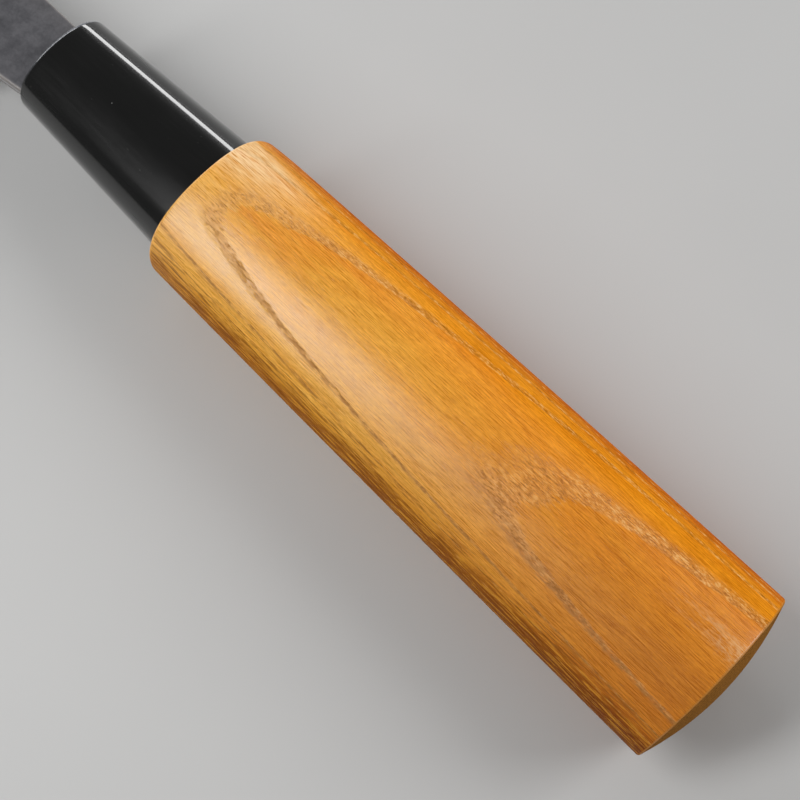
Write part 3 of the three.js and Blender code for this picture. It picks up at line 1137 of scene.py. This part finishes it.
        bore = self.bore
        flared = tuple(size + 2 * self.lip for size in bore)
        loft = RingLoft(axis.oval(axis.shoulder_x, *bore))
        for back, inset in reversed(quarter(self.rear_round, self.rear_round, self.round_steps)):
            loft.extend(outer(axis.shoulder_x + back, inset))
        rear_x, front_x = axis.shoulder_x + self.rear_round, axis.mouth_x - self.mouth_round
        for step in range(1, self.sleeve_steps):
            loft.extend(outer(mix(rear_x, front_x, step / self.sleeve_steps), 0.0))
        for back, inset in quarter(self.mouth_round, self.mouth_round, self.round_steps):
            loft.extend(outer(axis.mouth_x - back, inset))
        loft.extend(axis.oval(axis.mouth_x, *flared))
        loft.extend(axis.oval(axis.mouth_x - self.lip, *bore))
        loft.join()
        return loft.finish("ferrule_sleeve", self.crease)

    def fill(self) -> bpy.types.Object:
        """Lofts the fill that sinks a little between the ferrule's wall and the tang.

        Returns:
            The fill.
        """
        axis = self.axis
        low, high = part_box(Node.SEAL.value)
        height, thickness = high.y - low.y, high.z - low.z
        loft = RingLoft(axis.oval(low.x, height, thickness))
        for step in range(self.dip_steps + 1):
            share = step / self.dip_steps
            x = high.x - self.dip * math.sin(math.pi * share)
            wall = axis.oval(x, height, thickness)
            tang = axis.slot(x, self.tang_height, self.tang_thickness)
            loft.extend([there.lerp(here, share) for there, here in zip(wall, tang)])
        loft.extend(axis.slot(low.x, self.tang_height, self.tang_thickness))
        loft.join()
        return loft.finish("mouth_fill", self.crease)

    def build(self) -> None:
        """Makes the grip's pieces, dresses them and fixes them to the knife."""
        front = self.axis.at(self.axis.shoulder_x)
        mouth = self.axis.at(self.axis.mouth_x)
        settle(dress(self.wood(), RingPorousWood().material(front)), Node.HANDLE)
        settle(dress(self.sleeve(), BlackResin().material(mouth)), Node.FERRULE)
        dark = SetAdhesive(
            name="black_fill", clear=(0.02, 0.02, 0.019), cloudy=(0.034, 0.034, 0.033), roughness=0.42
        )
        settle(dress(self.fill(), dark.material(mouth)), Node.SEAL)
        adhesive = SetAdhesive().material(mouth)
        for node in (Node.GLUE, Node.BEDDING):
            dress(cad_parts[node.value], adhesive)
            LOG.info("%s keeps its packed shape", node.value)


@dataclass
class Station:
    """One place along the blade: its plan points and how far up the bevel the core line lies."""

    spine: Vector
    shoulder: Vector
    core_line: Vector
    edge: Vector
    core_share: float
    ground: bool


def bezier(points: tuple[Vector, Vector, Vector, Vector], share: float) -> Vector:
    """Point of a cubic curve.

    Args:
        points: Its two ends with their handles between them.
        share: Share of the way along it.

    Returns:
        The point.
    """
    first, second, third, fourth = points
    rest = 1 - share
    start = first * rest**3 + second * (3 * rest**2 * share)
    return start + third * (3 * rest * share**2) + fourth * share**3


@dataclass
class Blade:
    """Blade of three steel layers, with the neck and the hidden tang."""

    BEVEL_MARK = "bevel_height"
    SKIN_HEIGHT = 2.0
    ABOVE_HEIGHT = 1.1

    axis: Axis
    tang_length: float = 78.0 * MM
    tang_height: float = 8.8 * MM
    tang_end_height: float = 5.0 * MM
    neck_gap: float = 0.3 * MM
    neck_height: float = 10.9 * MM
    neck_flare: float = 0.9 * MM
    choil_radius: float = 4.6 * MM
    length: float = 130.0 * MM
    heel_slant: float = 0.8 * MM
    tip_drop: float = 5.5 * MM
    tip_blunt: float = 0.4 * MM
    spine_straight: float = 60.0 * MM
    spine_tip_reach: float = 32.0 * MM
    spine_tip_fall: float = 3.4 * MM
    edge_flat: float = 58.0 * MM
    edge_tip_reach: float = 34.0 * MM
    edge_tip_depth: float = 15.0 * MM
    tip_thickness: float = 0.9 * MM
    edge_thickness: float = 0.12 * MM
    bevel_height: float = 10.2 * MM
    ease: float = 0.32 * MM
    bevel_shares: tuple[float, ...] = (0.25, 0.5, 0.75, 1.0)
    band_share: float = 0.05
    blade_steps: int = 150
    choil_steps: int = 28
    tang_steps: int = 6
    crease: float = 24.0
    low: Vector = field(init=False)
    high: Vector = field(init=False)
    half: float = field(init=False)
    inner: float = field(init=False)

    def __post_init__(self) -> None:
        """Reads the blade's reach and its layers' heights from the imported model."""
        self.low, self.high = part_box(Node.CORE.value)
        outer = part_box(Node.LEFT.value)[1]
        self.half = outer.z - self.axis.z
        self.inner = (self.high.z - self.low.z) / 2

    @property
    def heel_x(self) -> float:
        """Where the neck ends and the ground blade begins."""
        return self.high.x - self.length

    def half_thickness(self, x: float) -> float:
        """Half of the thickness above the bevel, thinner towards the tip."""
        share = max(0.0, (x - self.heel_x) / self.length)
        return mix(self.half, self.tip_thickness / 2, share)

    def bar(self, x: float, spine_y: float, under_y: float) -> Station:
        """A station of the tang or neck, between its spine and its underside."""
        spine, under = Vector((x, spine_y)), Vector((x, under_y))
        return Station(spine, under, under, under, 1.0, False)

    def neck_stations(self) -> list[Station]:
        """Stations from the tang's end to the heel.

        Returns:
            The stations.
        """
        stations = []
        for step in range(self.tang_steps + 1):
            share = step / self.tang_steps
            half = mix(self.tang_end_height, self.tang_height, share) / 2
            x = self.axis.mouth_x - self.tang_length * (1 - share)
            stations.append(self.bar(x, self.axis.y - half, self.axis.y + half))
        spine_y = self.low.y
        under_y = spine_y + self.neck_height
        choil_y = under_y + self.neck_flare
        underside = (
            Vector((self.axis.mouth_x + self.neck_gap, under_y)),
            Vector((self.heel_x - self.choil_radius, choil_y)),
            Vector((self.heel_x, choil_y)),
            Vector((self.heel_x, choil_y + self.choil_radius)),
        )
        for step in range(self.choil_steps + 1):
            under = bezier(underside, step / self.choil_steps)
            stations.append(self.bar(under.x, spine_y, under.y))
        return stations

    def ground_stations(self) -> list[Station]:
        """Stations from the heel to the tip.

        Returns:
            The stations.
        """
        heel_x, tip_x = self.heel_x + self.heel_slant, self.high.x
        spine_y, edge_y = self.low.y, self.high.y
        tip_y = spine_y + self.tip_drop
        spine_curve = (
            Vector((heel_x, spine_y)),
            Vector((self.heel_x + self.spine_straight, spine_y)),
            Vector((tip_x - self.spine_tip_reach, tip_y - self.spine_tip_fall)),
            Vector((tip_x, tip_y - self.tip_blunt / 2)),
        )
        edge_curve = (
            Vector((heel_x, edge_y)),
            Vector((self.heel_x + self.edge_flat, edge_y)),
            Vector((tip_x - self.edge_tip_reach, tip_y + self.edge_tip_depth)),
            Vector((tip_x, tip_y + self.tip_blunt / 2)),
        )
        stations = []
        for step in range(self.blade_steps + 1):
            spine = bezier(spine_curve, step / self.blade_steps)
            edge = bezier(edge_curve, step / self.blade_steps)
            shoulder = edge.lerp(spine, self.bevel_height / (edge_y - spine_y))
            edge_half = self.edge_thickness / 2
            share = (self.inner - edge_half) / (self.half_thickness(shoulder.x) - edge_half)
            stations.append(Station(spine, shoulder, edge.lerp(shoulder, share), edge, share, True))
        return stations

    def lifted(self, plan: Vector, height: float) -> Vector:
        """A plan point at a height above the blade's middle plane."""
        return Vector((plan.x, plan.y, self.axis.z + height))

    def layer_ring(self, station: Station, side: Side) -> list[tuple[Vector, float]]:
        """Section of an outer layer, with each point's height up the bevel.

        Args:
            station: The place along the blade.
            side: The layer's side.

        Returns:
            Points and bevel heights, from the inner spine round to the outer spine.
        """
        spine, shoulder = station.spine, station.shoulder
        top = self.half_thickness(spine.x)
        ease = min(self.ease, (top - self.inner) / 2, (shoulder.y - spine.y) / 4)
        corner = ease * (1 - math.sqrt(0.5))
        down, eased = Vector((0, ease)), Vector((0, corner))
        skin = self.SKIN_HEIGHT
        points = [(spine, self.inner, skin), (station.core_line, self.inner, station.core_share)]
        if station.ground:
            rise = self.half_thickness(shoulder.x)
            for share in self.bevel_shares:
                plan = station.core_line.lerp(shoulder, share)
                points.append((plan, mix(self.inner, rise, share), mix(station.core_share, 1.0, share)))
            above = shoulder.lerp(spine, self.band_share)
            points.append((above, self.half_thickness(above.x), self.ABOVE_HEIGHT))
        else:
            foot = shoulder - down
            points += [(shoulder, top - ease, skin), (shoulder - eased, top - corner, skin)]
            points += [(foot.lerp(spine, step * self.band_share), top, skin) for step in range(3)]
        points += [(spine + down, top, skin), (spine + eased, top - corner, skin), (spine, top - ease, skin)]
        return [(self.lifted(plan, side.value * height), mark) for plan, height, mark in points]

    def core_ring(self, station: Station) -> list[tuple[Vector, float]]:
        """Section of the core, with each point's height up the bevel.

        Args:
            station: The place along the blade.

        Returns:
            Points and bevel heights round the section.
        """
        if station.ground:
            grind, edge_half, foot = station.core_line, self.edge_thickness / 2, 0.0
        else:
            grind, edge_half, foot = station.edge - Vector((0, self.inner)), self.inner, 1.0
        right = [
            (station.spine, -self.inner, self.SKIN_HEIGHT),
            (grind, -self.inner, station.core_share),
            (station.edge, -edge_half, foot),
        ]
        left = [(plan, -height, mark) for plan, height, mark in reversed(right)]
        return [(self.lifted(plan, height), mark) for plan, height, mark in right + left]

    def loft(self, name: str, rings: list[list[tuple[Vector, float]]]) -> bpy.types.Object:
        """Lofts marked sections into one closed layer.

        Args:
            name: The piece's name.
            rings: Sections from the tang's end to the tip.

        Returns:
            The piece.
        """
        skin = RingLoft([point for point, _ in rings[0]], self.BEVEL_MARK)
        skin.note([mark for _, mark in rings[0]])
        skin.cap()
        for ring in rings[1:]:
            skin.extend([point for point, _ in ring])
            skin.note([mark for _, mark in ring])
        skin.cap()
        return skin.finish(name, self.crease)

    def build(self) -> None:
        """Makes the blade's layers, dresses them and fixes them to the knife."""
        mouth = self.axis.at(self.axis.mouth_x)
        stations = self.neck_stations() + self.ground_stations()
        cladding = ForgedSteel().material(mouth)
        for side, node in ((Side.LEFT, Node.LEFT), (Side.RIGHT, Node.RIGHT)):
            rings = [self.layer_ring(station, side) for station in stations]
            layer = self.loft(f"blade_{side.name.lower()}_layer", rings)
            settle(dress(layer, cladding), node)
        core = self.loft("blade_core_plate", [self.core_ring(station) for station in stations])
        settle(dress(core, CoreSteel().material(mouth)), Node.CORE)


@dataclass(frozen=True)
class SoftBox:
    """A soft light that stands off from a point in a given direction."""

    name: str
    bearing: float
    rise: float
    distance: float
    width: float
    height: float
    radiance: float
    roll: float = 0.0

    def build(self, aim: Vector) -> None:
        """Adds the light.

        Args:
            aim: The point it shines on.
        """
        bearing, rise = math.radians(self.bearing), math.radians(self.rise)
        level = math.cos(rise)
        towards = Vector((level * math.cos(bearing), level * math.sin(bearing), math.sin(rise)))
        lamp = bpy.data.lights.new(self.name, "AREA")
        lamp.shape = "RECTANGLE"
        lamp.size, lamp.size_y = self.width, self.height
        lamp.energy = self.radiance * math.pi * self.width * self.height
        made = bpy.data.objects.new(self.name, lamp)
        made.location = aim + towards * self.distance
        rolled = Quaternion((0.0, 0.0, 1.0), math.radians(self.roll))
        made.rotation_euler = (towards.to_track_quat("Z", "Y") @ rolled).to_euler()
        made.visible_camera = False
        bpy.context.scene.collection.objects.link(made)


@dataclass
class Studio:
    """Pale floor, soft lights, even surroundings and the camera."""

    axis: Axis
    floor_side: float = 4.0
    floor_drop: float = 0.02 * MM
    floor_cells: int = 8
    surround: float = 0.16
    aim_back: float = 22.0 * MM
    near_clip: float = 0.01
    picture_side: float = 800.0
    focal: float = 1741.27
    sensor: float = 36.0
    camera_place: Point = (-116.144 * MM, 32.038 * MM, 213.944 * MM)
    camera_turn: Point = (14.70589, 1.02410, -135.44270)
    lights: tuple[SoftBox, ...] = (
        SoftBox("front", bearing=-14.0, rise=18.0, distance=1.5, width=1.53, height=0.467, radiance=5.0),
        SoftBox(
            "sheen",
            bearing=55.3,
            rise=52.5,
            distance=0.302,
            width=0.076,
            height=0.265,
            radiance=8.6,
            roll=22.0,
        ),
        SoftBox("back", bearing=-128.0, rise=34.0, distance=0.60, width=0.30, height=0.30, radiance=5.2),
        SoftBox("strip", bearing=-60.0, rise=8.0, distance=0.60, width=0.22, height=0.08, radiance=11.0),
    )

    def floor(self) -> None:
        """Adds the floor just under the knife."""
        mesh = bmesh.new()
        bmesh.ops.create_grid(
            mesh, x_segments=self.floor_cells, y_segments=self.floor_cells, size=self.floor_side / 2
        )
        bmesh.ops.translate(mesh, verts=mesh.verts, vec=(0, 0, -self.floor_drop))
        data = bpy.data.meshes.new("floor")
        mesh.to_mesh(data)
        mesh.free()
        made = bpy.data.objects.new("floor", data)
        bpy.context.scene.collection.objects.link(made)
        dress(made, PaleBoard().material(Vector()))

    def surroundings(self) -> None:
        """Sets even light from all round."""
        world = bpy.data.worlds.new("surroundings")
        bpy.context.scene.world = world
        sheet = NodeSheet(world)
        grey = (self.surround,) * 3
        glow = sheet.node("ShaderNodeBackground", sockets={"Color": grey, "Strength": 1.0})
        sheet.node("ShaderNodeOutputWorld", sockets={"Surface": glow})

    def camera(self) -> None:
        """Sets up the camera at the photograph's place."""
        lens = bpy.data.cameras.new("camera")
        lens.sensor_width = self.sensor
        lens.lens = self.focal / self.picture_side * self.sensor
        lens.clip_start = self.near_clip
        made = bpy.data.objects.new("camera", lens)
        turn = Euler([math.radians(angle) for angle in self.camera_turn], "XYZ")
        made.matrix_world = Matrix.LocRotScale(Vector(self.camera_place), turn, None)
        bpy.context.scene.collection.objects.link(made)
        bpy.context.scene.camera = made

    def build(self) -> None:
        """Sets up everything round the knife."""
        self.camera()
        self.floor()
        self.surroundings()
        aim = self.axis.at(self.axis.shoulder_x - self.aim_back)
        for light in self.lights:
            light.build(aim)
        bpy.context.scene.view_settings.view_transform = "Standard"


def main() -> None:
    """Builds the studio and the knife."""
    logging.basicConfig(level=logging.INFO, format="%(name)s: %(message)s")
    axis = Axis.read()
    Studio(axis).build()
    Grip(axis).build()
    Blade(axis).build()


if __name__ == "__main__":
    main()
